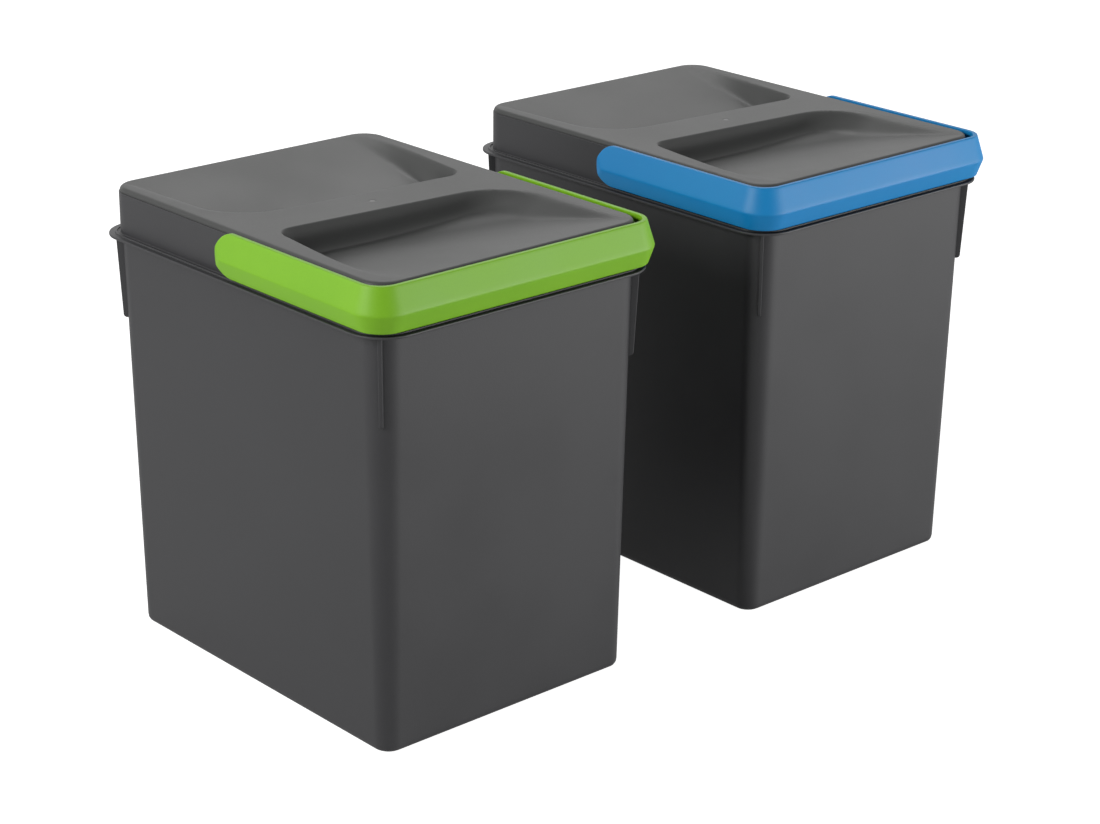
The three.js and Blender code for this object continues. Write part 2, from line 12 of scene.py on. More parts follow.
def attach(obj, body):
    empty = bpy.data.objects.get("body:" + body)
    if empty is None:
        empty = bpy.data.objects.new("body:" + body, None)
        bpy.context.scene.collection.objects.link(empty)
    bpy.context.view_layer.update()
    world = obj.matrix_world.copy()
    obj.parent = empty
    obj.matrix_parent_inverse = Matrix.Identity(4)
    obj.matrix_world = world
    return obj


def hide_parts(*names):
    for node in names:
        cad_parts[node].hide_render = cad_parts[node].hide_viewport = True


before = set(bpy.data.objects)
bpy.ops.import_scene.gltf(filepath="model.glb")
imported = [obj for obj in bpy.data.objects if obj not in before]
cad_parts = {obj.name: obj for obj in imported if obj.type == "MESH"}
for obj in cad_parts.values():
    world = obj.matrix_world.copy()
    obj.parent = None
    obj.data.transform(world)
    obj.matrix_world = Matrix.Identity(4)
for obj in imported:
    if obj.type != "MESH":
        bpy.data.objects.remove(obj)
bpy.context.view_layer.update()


# ---------- Camera ----------
# A long lens stands in front of the pair and to its left, a little above the lids, so that the
# front and left sides and the tops show, with the green bin nearer.

camera_place = (-1.012391, -1.117694, 0.680851)
heading, tilt, roll = (math.radians(angle) for angle in (41.999, 20.78, 0.574))
forward = np.array([
    math.sin(heading) * math.cos(tilt),
    math.cos(heading) * math.cos(tilt),
    -math.sin(tilt),
])
level_right = np.array([math.cos(heading), -math.sin(heading), 0])
level_up = np.cross(level_right, forward)
right = level_right * math.cos(roll) + level_up * math.sin(roll)
up = level_up * math.cos(roll) - level_right * math.sin(roll)


def axes_at(right, up, back, place):
    """The matrix of an object at a place, from the directions of its own axes."""
    turn = np.eye(4)
    turn[:3, 0], turn[:3, 1], turn[:3, 2], turn[:3, 3] = right, up, back, place
    return Matrix(turn.tolist())


lens = bpy.data.cameras.new("studio_camera")
lens.sensor_width = 36
lens.lens = 87.932
lens.clip_end = 20
camera = bpy.data.objects.new("studio_camera", lens)
bpy.context.scene.collection.objects.link(camera)
camera.matrix_world = axes_at(right, up, -forward, camera_place)
bpy.context.scene.camera = camera


# ---------- Buckets ----------
# The body of each bin: a tapered bucket with a thin flange, a bead along it, a collar above it
# and four fins under its corners. Injection-moulded in one piece of grey polypropylene.

BIN_MIDDLES = {"green": (-137.5, 1.15), "blue": (137.5, 1.15)}
HALF_WIDTH, HALF_DEPTH, CORNER, WALL = 92.0, 121.0, 15.0, 2.0
COLLAR_TOP = 263.2
FLANGE_UNDER, FLANGE_TOP, FLANGE_OUT = 238.0, 239.4, 6.5
BEAD_OUT, BEAD_IN, BEAD_TOP = 3.2, 1.9, 240.1
# how far the body's face lies behind the collar's, at the foot and under the flange
FOOT_INSET, TOP_INSET, FOOT_ROUND = 5.2, 1.2, 4.0
STEP_TOP, STEP_FOOT = 238.7, 236.6
STANDING_RING, BASE_RAISE, INSIDE_FLOOR = 12.0, 1.2, 3.8
FIN_LENGTH, FIN_HALF, FIN_ROOT = 50.0, 1.1, 1.1
FIN_FOOT_OUT, FIN_TOP_OUT, FIN_ROUND, FIN_EDGE = 2.8, 4.4, 1.8, 0.45
PIVOT_HEIGHT, HOLE_RADIUS = 253.6, 4.3
SHARP_ANGLE = 35


def outline(outset):
    """The collar's plan line, grown square to itself by each outset: four quarter turns joined by
    straight sides, with a point beside each turn so that the flat sides stay flat. The radius of
    the turns grows with the outset and is 3 mm at least."""
    outset = np.atleast_1d(np.asarray(outset, float))[:, None, None]
    radius = np.maximum(CORNER + outset, 3.0)
    quarter = np.arange(4)[None, :, None]
    angle = (quarter + np.linspace(0, 1, 15)) * np.pi / 2
    sign_x = np.where((quarter == 0) | (quarter == 3), 1, -1)
    sign_y = np.where(quarter < 2, 1, -1)
    x = sign_x * (HALF_WIDTH + outset - radius) + radius * np.cos(angle)
    y = sign_y * (HALF_DEPTH + outset - radius) + radius * np.sin(angle)
    arcs = np.stack([x, y], -1)
    share = np.array([0.006, 0.5, 0.994])[:, None]
    here, there = arcs[:, :, -1:], np.roll(arcs, -1, 1)[:, :, :1]
    sides = here * (1 - share) + there * share
    return np.concatenate([arcs, sides], 2).reshape(len(arcs), -1, 2)


def rounded(corners):
    """A profile with each corner rounded: corners are rows of distance, height and radius. A
    corner becomes a parabola that touches both sides at the radius, with a point 0.25 mm further
    on along each side. All of it stays within the nearer half of the shorter side."""
    corners = np.asarray(corners, float)
    place, radius = corners[1:-1, :2], corners[1:-1, 2:]
    back, on = corners[:-2, :2] - place, corners[2:, :2] - place
    back_length = np.linalg.norm(back, axis=1, keepdims=True)
    on_length = np.linalg.norm(on, axis=1, keepdims=True)
    shorter = np.minimum(back_length, on_length)
    reach = np.minimum(radius, 0.46 * shorter)
    beside = np.minimum(reach + 0.25, 0.49 * shorter)
    back, on = back / back_length, on / on_length
    t = np.linspace(0, 1, 5)[None, :, None]
    curve = place[:, None] + (1 - t) ** 2 * (back * reach)[:, None] + t**2 * (on * reach)[:, None]
    before, after = (place + back * beside)[:, None], (place + on * beside)[:, None]
    inner = np.concatenate([before, curve, after], 1).reshape(-1, 2)
    return np.vstack([corners[:1, :2], inner, corners[-1:, :2]])


def closed_body(rings):
    """Points and faces of a body over rings of as many points: four-sided faces from ring to
    ring, and a flat face at the first and at the last."""
    rows, columns = rings.shape[:2]
    i, j = np.meshgrid(np.arange(rows - 1), np.arange(columns), indexing="ij")
    k = (j + 1) % columns
    here, there = i * columns, (i + 1) * columns
    sides = np.stack([here + j, here + k, there + k, there + j], -1).reshape(-1, 4)
    last = (rows - 1) * columns
    ends = [list(range(columns))[::-1], list(range(last, last + columns))]
    return rings.reshape(-1, 3), sides.tolist() + ends


def loft(profile):
    """A closed body with the plan line at each distance and height of the profile."""
    flat = outline(profile[:, 0])
    height = np.broadcast_to(profile[:, 1][:, None, None], flat.shape[:2] + (1,))
    return closed_body(np.concatenate([flat, height], -1))


def turned(reach, radius, count):
    """A round body about the pivots' axis: at each reach along X a circle of its radius, of as
    many points as the count, in the sense that turns the faces outward."""
    reach, radius = np.array(reach)[:, None], np.array(radius)[:, None]
    turn = np.linspace(0, 2 * np.pi, count, endpoint=False)
    y = np.sign(reach[-1] - reach[0]) * radius * np.cos(turn)
    z = PIVOT_HEIGHT + radius * np.sin(turn)
    return closed_body(np.stack([reach + 0 * y, y, z], -1))


def join(bodies):
    """One list of points and one of faces from several bodies."""
    points, faces, start = [], [], 0
    for body_points, body_faces in bodies:
        points.append(body_points)
        faces += [[index + start for index in face] for face in body_faces]
        start += len(body_points)
    return np.vstack(points), faces


def make_piece(name, bin_name, points, faces, material, sharp=SHARP_ANGLE):
    """A mesh object of one bin, from millimetres about the bin's middle to metres in the frame."""
    middle_x, middle_y = BIN_MIDDLES[bin_name]
    mesh = bpy.data.meshes.new(name)
    mesh.from_pydata(((points + (middle_x, middle_y, 0)) / 1000).tolist(), [], faces)
    mesh.polygons.foreach_set("use_smooth", np.ones(len(mesh.polygons), bool))
    mesh.set_sharp_from_angle(angle=math.radians(sharp))
    mesh.materials.append(material)
    mesh.update()
    piece = bpy.data.objects.new(name, mesh)
    bpy.context.scene.collection.objects.link(piece)
    return piece


def fin(sign_x, sign_y):
    """One upright fin: a narrow tongue-shaped ring about the corner's diagonal, carried from its
    foot up into the flange; it stands out further towards the top, and its foot is rounded."""
    foot, top = FLANGE_UNDER - FIN_LENGTH, (FLANGE_UNDER + FLANGE_TOP) / 2
    round_rise = FIN_ROUND * (1 - np.cos(np.linspace(0, np.pi / 2, 7)))
    height = np.concatenate([foot + round_rise, [top]])
    share = (height - foot) / (top - foot)
    face = CORNER - (FOOT_INSET + (TOP_INSET - FOOT_INSET) * height / FLANGE_UNDER)
    into_round = np.clip(1 - (height - foot) / FIN_ROUND, 0, 1)
    stand = FIN_FOOT_OUT + (FIN_TOP_OUT - FIN_FOOT_OUT) * share
    stand -= FIN_ROUND * (1 - np.sqrt(1 - into_round**2))
    turn = np.linspace(-np.pi / 2, np.pi / 2, 9)
    flat_half = FIN_HALF - FIN_EDGE
    across = np.concatenate([[-FIN_HALF], -flat_half + FIN_EDGE * np.sin(turn[:5]),
                             flat_half + FIN_EDGE * np.sin(turn[4:]), [FIN_HALF]])
    rounding = np.concatenate([[0], np.cos(turn[:5]), np.cos(turn[4:]), [0]])
    root = np.zeros(len(across), bool)
    root[[0, -1]] = True
    out = face[:, None] + np.where(root, -FIN_ROOT, stand[:, None] + FIN_EDGE * (rounding - 1))
    side = np.broadcast_to(across, out.shape)
    along = np.array([sign_x, sign_y]) / math.sqrt(2)
    aside = np.array([-along[1], along[0]])
    corner = np.array([sign_x * (HALF_WIDTH - CORNER), sign_y * (HALF_DEPTH - CORNER)])
    flat = corner + out[..., None] * along + side[..., None] * aside
    height = np.broadcast_to(height[:, None, None], out.shape + (1,))
    return closed_body(np.concatenate([flat, height], -1))


def linear(code):
    """Linear red, green, blue and alpha of an sRGB hex value."""
    value = np.array([int(code[i:i + 2], 16) for i in (1, 3, 5)]) / 255
    value = np.where(value <= 0.04045, value / 12.92, ((value + 0.055) / 1.055) ** 2.4)
    return (*value.tolist(), 1.0)


def add_node(tree, kind, settings, inputs):
    """Adds a shader node with its settings; an input is a value or another node's output."""
    made = tree.nodes.new(kind)
    for key, value in settings.items():
        setattr(made, key, value)
    for key, value in inputs.items():
        if isinstance(value, bpy.types.NodeSocket):
            tree.links.new(value, made.inputs[key])
        else:
            made.inputs[key].default_value = value
    return made


def moulded_polypropylene(name, deep, pale, grain_depth):
    """Polypropylene off a spark-eroded mould: an even satin skin with a fine grain, drawn at 0.9 mm
    since the real 0.2 mm wouldn't show, over faint cloudy flow marks some 60 mm wide. Both vary
    the colour from deep to pale and the roughness a little about 0.48."""
    material = bpy.data.materials.new(name)
    material.use_nodes = True
    tree = material.node_tree
    tree.nodes.clear()
    place = add_node(tree, "ShaderNodeTexCoord", {}, {}).outputs["Object"]
    flow = add_node(tree, "ShaderNodeTexNoise", {}, {
        "Vector": place, "Scale": 16.0, "Detail": 3.0, "Roughness": 0.5})
    grain = add_node(tree, "ShaderNodeTexNoise", {}, {
        "Vector": place, "Scale": 1100.0, "Detail": 2.0, "Roughness": 0.6})
    tint = add_node(tree, "ShaderNodeMapRange", {}, {
        "Value": flow.outputs["Fac"], "From Min": 0.3, "From Max": 0.7})
    speck = add_node(tree, "ShaderNodeMapRange", {}, {
        "Value": grain.outputs["Fac"], "From Min": 0.3, "From Max": 0.7,
        "To Min": -0.25, "To Max": 0.25})
    both = add_node(tree, "ShaderNodeMath", {"operation": "ADD", "use_clamp": True}, {
        0: tint.outputs["Result"], 1: speck.outputs["Result"]})
    colour = add_node(tree, "ShaderNodeMix", {"data_type": "RGBA"}, {
        0: both.outputs[0], 6: linear(deep), 7: linear(pale)})
    satin = add_node(tree, "ShaderNodeMapRange", {}, {
        "Value": both.outputs[0], "To Min": 0.44, "To Max": 0.52})
    relief = add_node(tree, "ShaderNodeBump", {}, {
        "Height": grain.outputs["Fac"], "Strength": 1.0, "Distance": grain_depth})
    skin = add_node(tree, "ShaderNodeBsdfPrincipled", {}, {
        "Base Color": colour.outputs[2], "Roughness": satin.outputs["Result"], "IOR": 1.49,
        "Normal": relief.outputs["Normal"]})
    add_node(tree, "ShaderNodeOutputMaterial", {}, {"Surface": skin.outputs["BSDF"]})
    return material


# from the middle of the underside out to the foot, up over the flange and its bead to the
# collar's top, and down the inside, past the step under the collar, to the flat floor
ring_inside = FOOT_INSET + FOOT_ROUND + STANDING_RING
bucket_profile = rounded([
    (-ring_inside - BASE_RAISE, BASE_RAISE, 0), (-ring_inside, 0, 0.3),
    (-FOOT_INSET, 0, FOOT_ROUND), (-TOP_INSET, FLANGE_UNDER, 0.5),
    (FLANGE_OUT, FLANGE_UNDER, 0.45), (FLANGE_OUT, FLANGE_TOP, 0.45),
    (BEAD_OUT, FLANGE_TOP, 0.25), (BEAD_OUT, BEAD_TOP, 0.5),
    (BEAD_IN, BEAD_TOP, 0.5), (BEAD_IN, FLANGE_TOP, 0.25),
    (0, FLANGE_TOP, 0.4), (0, COLLAR_TOP, 0.35), (-WALL, COLLAR_TOP, 0.35),
    (-WALL, STEP_TOP, 1), (-WALL - TOP_INSET, STEP_FOOT, 1),
    (-WALL - FOOT_INSET, INSIDE_FLOOR, FOOT_ROUND), (-WALL - FOOT_INSET - 30, INSIDE_FLOOR, 0),
])
bucket_skin = moulded_polypropylene("moulded_polypropylene_grey", "#363638", "#3b3b3d", 0.00004)

for bin_name in BIN_MIDDLES:
    fins = [fin(sign_x, sign_y) for sign_x in (-1, 1) for sign_y in (-1, 1)]
    bore_body = turned([-HALF_WIDTH - 5, HALF_WIDTH + 5], [HOLE_RADIUS, HOLE_RADIUS], 48)
    bucket = make_piece(bin_name + "_bucket", bin_name, *loft(bucket_profile), bucket_skin)
    corner_fins = make_piece("corner_fins", bin_name, *join(fins), bucket_skin)
    bore = make_piece("bore", bin_name, *bore_body, bucket_skin)
    # the fins are joined to the wall, and the two pivot holes are bored through the collar
    for operation, other in (("UNION", corner_fins), ("DIFFERENCE", bore)):
        step = bucket.modifiers.new(operation.lower(), "BOOLEAN")
        step.operation, step.solver, step.object = operation, "EXACT", other
    finished = bpy.data.meshes.new_from_object(
        bucket.evaluated_get(bpy.context.evaluated_depsgraph_get()))
    bucket.modifiers.clear()
    bucket.data = finished
    finished.set_sharp_from_angle(angle=math.radians(SHARP_ANGLE))
    bpy.data.objects.remove(corner_fins)
    bpy.data.objects.remove(bore)
    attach(bucket, bin_name + "_bucket")
    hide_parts(bin_name + "_bin_bucket")


# ---------- Lids ----------
# A flat lid that rests on the collar with a skirt inside it. Two deep finger recesses leave a
# grip bar aslant between them. Injection-moulded polypropylene, gated at its middle.

LID_TOP, LID_SETBACK, LID_ROUND, LID_WALL = 266.0, 0.5, 2.4, 2.0
SKIRT_OUT, SKIRT_IN, SKIRT_DEPTH = 2.5, 4.1, 4.6
GATE_RADIUS, GATE_WIDTH, GATE_DEPTH = 1.6, 0.6, 0.25
# outline of the rear recess: the bar's edge, the steep end on the right, the soft one on the left
BAR_HALF, BAR_SLOPE = 16.8, 0.07
STEEP_SIDE, STEEP_SPLAY, SPLAY_END, STEEP_CORNER = 73.5, 0.14, 104.0, 9.0
SOFT_SIDE, SOFT_SPLAY, SOFT_CORNER, SOFTENING = 77.0, 0.06, 30.0, 40.0
# its floor: the ramp, the fold in it and the shelf along the bar
RAMP_END, RAMP_ROUND, RAMP_DEPTH, RAMP_POWER = 118.0, 0.03, 17.0, 1.1
FOLD_WIDTH, FOLD_DEPTH, FOLD_POWER = 30.0, 4.5, 1.2
SHELF_DEPTH, SHELF_RISE, SHELF_FALL = 21.0, 0.081, 0.06
# its walls: slopes and rounded rims, and how sharply shelf and walls meet the floor
STEEP_FOOT, STEEP_SLOPE, STEEP_RIM = 70.0, 5.0, 1.8
SOFT_SLOPE, SOFT_RIM = 0.68, 3.0
SHELF_SHARPNESS, FOOT_SHARPNESS = 12, 7


def rounded_start(value, size):
    """Nothing below -size, the value itself above size, and a parabola between them."""
    return np.where(value >= size, value, np.clip(value + size, 0, None) ** 2 / (4 * size))


def lesser(a, b, sharpness):
    """The lesser of two positive values, rounded where they cross: both to the power of -sharpness
    are added, and the sum is taken to the power of -1 / sharpness."""
    a, b = np.maximum(a, 1e-6), np.maximum(b, 1e-6)
    return (a**-sharpness + b**-sharpness) ** (-1 / sharpness)


def steep_spread(past):
    """How far the steep end's rim has spread at a distance past the bar: the distance times the
    splay, times one less the fifth power of the distance over SPLAY_END. That turns the rim back
    where the recess runs out."""
    return STEEP_SPLAY * past * (1 - np.clip(past / SPLAY_END, 0, 1) ** 5)


def rear_recess(x, y, grow):
    """Depth of the rear finger recess. Its floor ramps up from the bar to the lid's edge, folds
    down beside the steep wall and leaves a shelf along the bar that rises towards the soft end.
    Its walls drop from the outline at a slope: steep at the bar, and at the steep end such that
    the foot runs straight while the rim spreads; about the soft corner they grow soft."""
    bar_edge = BAR_HALF - BAR_SLOPE * x
    from_bar = (y - bar_edge) / math.hypot(1, BAR_SLOPE) + grow
    steep_x = STEEP_SIDE + steep_spread(y - BAR_HALF)
    from_steep = (steep_x - x) / math.hypot(1, STEEP_SPLAY) + grow
    from_soft = x + SOFT_SIDE + SOFT_SPLAY * (y - BAR_HALF) + grow
    rise = rounded_start((RAMP_END - y) / (RAMP_END - bar_edge), RAMP_ROUND)
    fold_width = np.maximum(FOLD_WIDTH * rise, 1e-6)
    fold = np.clip(1 - np.clip(from_steep, 0, None) / fold_width, 0, None)
    ramp = RAMP_DEPTH * rise**RAMP_POWER + FOLD_DEPTH * rise**FOLD_POWER * fold**2
    shelf = SHELF_DEPTH - SHELF_RISE * (STEEP_SIDE - x) + SHELF_FALL * (y - bar_edge)
    run = np.minimum(np.minimum(from_bar, from_steep), from_soft)
    for radius, from_end in ((STEEP_CORNER, from_steep), (SOFT_CORNER, from_soft)):
        in_corner = (from_bar < radius) & (from_end < radius)
        run = np.where(in_corner, radius - np.hypot(radius - from_bar, radius - from_end), run)
    steep_slope = np.clip(ramp / np.maximum(steep_x - STEEP_FOOT, 1e-6), None, STEEP_SLOPE)
    steep_wall = np.maximum(steep_slope * rounded_start(run, STEEP_RIM), 1e-9)
    soft_wall = np.maximum(SOFT_SLOPE * rounded_start(run, SOFT_RIM), 1e-9)
    about_corner = np.arctan2(np.clip(SOFTENING - from_soft, 0, None),
                              np.clip(SOFTENING - from_bar, 0, None)) / (np.pi / 2)
    soft_share = about_corner * about_corner * (3 - 2 * about_corner)
    wall = steep_wall ** (1 - soft_share) * soft_wall**soft_share
    depth = lesser(lesser(ramp, shelf, SHELF_SHARPNESS), wall, FOOT_SHARPNESS)
    return np.where((wall > 1e-5) & (ramp > 1e-5), depth, 0)


def recess(x, y, grow):
    """Both recesses: the front one is the rear one turned half round about the lid's middle."""
    return np.where(y > -BAR_SLOPE * x, rear_recess(x, y, grow), rear_recess(-x, -y, grow))


def lid_sheet(inset, top, grow):
    """One face of the lid as a height over a grid. Rows run along the bar and turn to run along
    the lid's edge; columns follow the steep walls, which widen between their straight foot and
    their spreading rim; the outermost lines follow the outline. Lines lie closer together at the
    gate, at the bar's edges and at the steep walls."""
    outer_x, outer_y, radius = HALF_WIDTH - inset, HALF_DEPTH - inset, CORNER - inset
    straight = outer_y - radius
    foot, past_rim = STEEP_FOOT + grow - 0.5, STEEP_SIDE + grow + 2
    near_gate = np.linspace(0, 3.2, 9)[1:]
    column = np.concatenate([
        near_gate, np.linspace(near_gate[-1], foot - 4, 28)[1:], np.linspace(foot - 3.5, foot, 8),
        np.linspace(foot, past_rim, 26)[1:], np.linspace(past_rim, outer_x, 9)[1:],
    ])
    bar = BAR_HALF - grow
    near_bar = bar + np.concatenate([[-2.5], np.linspace(-2, 4.8, 18), np.linspace(5.3, 24, 16)])
    row = np.concatenate([
        near_gate, np.linspace(near_gate[-1], near_bar[0], 6)[1:-1], near_bar,
        np.linspace(near_bar[-1], straight, 26)[1:-1],
        straight + radius * np.sin(np.linspace(0, np.pi / 2, 13)),
    ])
    column = np.concatenate([-column[::-1], [0], column])[None, :]
    row = np.concatenate([-row[::-1], [0], row])[:, None]
    reach = np.abs(row)
    over = np.clip((reach - straight) / radius, 0, 1)
    narrowed = 1 - radius * (1 - np.sqrt(1 - over**2)) / outer_x
    skew = BAR_SLOPE * np.clip((straight - reach) / (straight - near_bar[-1]), 0, 1)
    y = row - skew * column
    past = np.where(column * row > 0, np.clip(np.abs(y) - BAR_HALF, 0, None), 0)
    splay = steep_spread(past)
    size = np.abs(column)
    out = np.clip((size - past_rim) / (outer_x - past_rim), 0, 1)
    placed = size + splay * np.clip((size - foot) / (past_rim - foot), 0, 1) * (1 - out)
    x = np.sign(column) * placed * narrowed
    return np.stack([x, y, top - recess(x, y, grow)], -1)


def border(rows, columns):
    """Numbers of a grid's outermost points in order, counter-clockwise."""
    number = np.arange(rows * columns).reshape(rows, columns)
    return np.concatenate([number[0, :-1], number[:-1, -1], number[-1, :0:-1], number[:0:-1, 0]])


def lid_body():
    """The lid: its upper face, its rounded edge, the seat on the collar, the skirt and the
    underside, which follows the recesses one wall thickness further in."""
    upper = lid_sheet(LID_SETBACK + LID_ROUND, LID_TOP, 0)
    lower = lid_sheet(SKIRT_IN, LID_TOP - LID_WALL, LID_WALL + LID_WALL / STEEP_SLOPE)
    # the mark of the gate: a shallow ring about the middle
    from_middle = np.hypot(upper[..., 0], upper[..., 1])
    upper[..., 2] -= GATE_DEPTH * np.exp(-(((from_middle - GATE_RADIUS) / GATE_WIDTH) ** 2))
    rows, columns = upper.shape[:2]
    rim = border(rows, columns)
    i, j = np.meshgrid(np.arange(rows - 1), np.arange(columns - 1), indexing="ij")
    a = (i * columns + j).reshape(-1)
    quads = np.stack([a, a + 1, a + columns + 1, a + columns], -1)
    edge = upper.reshape(-1, 3)[rim]
    middle = np.sign(edge[:, :2]) * (HALF_WIDTH - CORNER, HALF_DEPTH - CORNER)
    off = np.where(np.abs(edge[:, :2]) > np.abs(middle) + 1e-9, edge[:, :2] - middle, 0)
    off /= np.linalg.norm(off, axis=1, keepdims=True)
    turn = np.linspace(0, np.pi / 2, 9)[1:]
    quarter_round = np.stack([LID_SETBACK + LID_ROUND * (1 - np.sin(turn)),
                              LID_TOP - LID_ROUND * (1 - np.cos(turn))], -1)
    skirt_foot = COLLAR_TOP - SKIRT_DEPTH
    seat_and_skirt = rounded([
        (LID_SETBACK, LID_TOP - LID_ROUND, 0), (LID_SETBACK, COLLAR_TOP, 0.3),
        (SKIRT_OUT, COLLAR_TOP, 0.3), (SKIRT_OUT, skirt_foot, 0.5), (SKIRT_IN, skirt_foot, 0.5),
        (SKIRT_IN, LID_TOP - LID_WALL, 0),
    ])[1:-1]
    profile = np.vstack([quarter_round, seat_and_skirt])
    flat = edge[None, :, :2] + off * (LID_SETBACK + LID_ROUND - profile[:, 0])[:, None, None]
    height = np.broadcast_to(profile[:, 1][:, None, None], flat.shape[:2] + (1,))
    rings = np.concatenate([flat, height], -1)
    start, count = rows * columns, len(rim)
    lower_start = start + rings.shape[0] * count
    ring_numbers = np.arange(start, lower_start).reshape(-1, count)
    numbers = np.vstack([rim, ring_numbers, lower_start + rim])
    here, there = numbers[:-1], numbers[1:]
    sides = np.stack([here, there, np.roll(there, -1, 1), np.roll(here, -1, 1)], -1).reshape(-1, 4)
    points = np.vstack([upper.reshape(-1, 3), rings.reshape(-1, 3), lower.reshape(-1, 3)])
    return points, quads.tolist() + sides.tolist() + (lower_start + quads[:, ::-1]).tolist()


lid_skin = moulded_polypropylene("moulded_polypropylene_lid", "#393a39", "#3f403f", 0.00004)

# a pale dot 3 mm wide is painted into the colour at the middle of each lid, over the gate. Both
# middles lie equally far from the pair's middle, so with x taken positive one dot does for both
gate_x, gate_y = (value / 1000 for value in BIN_MIDDLES["blue"])
tree = lid_skin.node_tree
place = add_node(tree, "ShaderNodeTexCoord", {}, {}).outputs["Object"]
level = add_node(tree, "ShaderNodeVectorMath", {"operation": "MULTIPLY_ADD"}, {
    0: place, 1: (1, 1, 0), 2: (0, -gate_y, 0)})
either_side = add_node(tree, "ShaderNodeVectorMath", {"operation": "ABSOLUTE"}, {
    0: level.outputs["Vector"]})
from_gate = add_node(tree, "ShaderNodeVectorMath", {"operation": "DISTANCE"}, {
    0: either_side.outputs["Vector"], 1: (gate_x, 0, 0)})
# share of the painted pale dot: whole within 1.1 mm of the gate, none past 1.8 mm
pale_dot = add_node(tree, "ShaderNodeMapRange", {}, {
    "Value": from_gate.outputs["Value"], "From Min": 0.0011, "From Max": 0.0018,
    "To Min": 1.0, "To Max": 0.0})
skin = next(node for node in tree.nodes if node.type == "BSDF_PRINCIPLED")
plain_colour = skin.inputs["Base Color"].links[0].from_socket
with_gate = add_node(tree, "ShaderNodeMix", {"data_type": "RGBA"}, {
    0: pale_dot.outputs["Result"], 6: plain_colour, 7: linear("#7c7c7b")})
tree.links.new(with_gate.outputs[2], skin.inputs["Base Color"])

for bin_name in BIN_MIDDLES:
    lid = make_piece(bin_name + "_lid", bin_name, *lid_body(), lid_skin, sharp=60)
    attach(lid, bin_name + "_lid")
    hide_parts(bin_name + "_bin_lid")


# ---------- Handles ----------
# A coloured band round the front of the collar, with a ridge along it and bevelled round ends.
# It turns on a stud moulded on each arm and is hollow at the back. Moulded polypropylene.

HANDLE_HALF, HANDLE_GAP, HANDLE_CORNER, TAIL = 12.4, 1.6, 11.0, 10.0
TOP_OUT, RIDGE_OUT, BOTTOM_OUT, RIDGE_HEIGHT = 2.6, 7.2, 3.7, -2.2
END_OUT, END_BEVEL, RIDGE_SOFT, BEVEL_SOFT = 5.0, 6.0, 0.35, 0.5
EDGE_ROUND, BACK_ROUND = 0.6, 0.4
HANDLE_WALL, HOLLOW_START, HOLLOW_MARGIN = 2.4, 25.6, 3.0
STUD_RADIUS, STUD_ROOT, STUD_REACH, STUD_CHAMFER = 4.0, 1.5, 0.2, 0.5


def soft_least(a, b, size):
    """The lesser of two values, with the crossing rounded over the given size."""
    near = np.clip(size - np.abs(a - b), 0, None)
    return np.minimum(a, b) - near**2 / (4 * size)


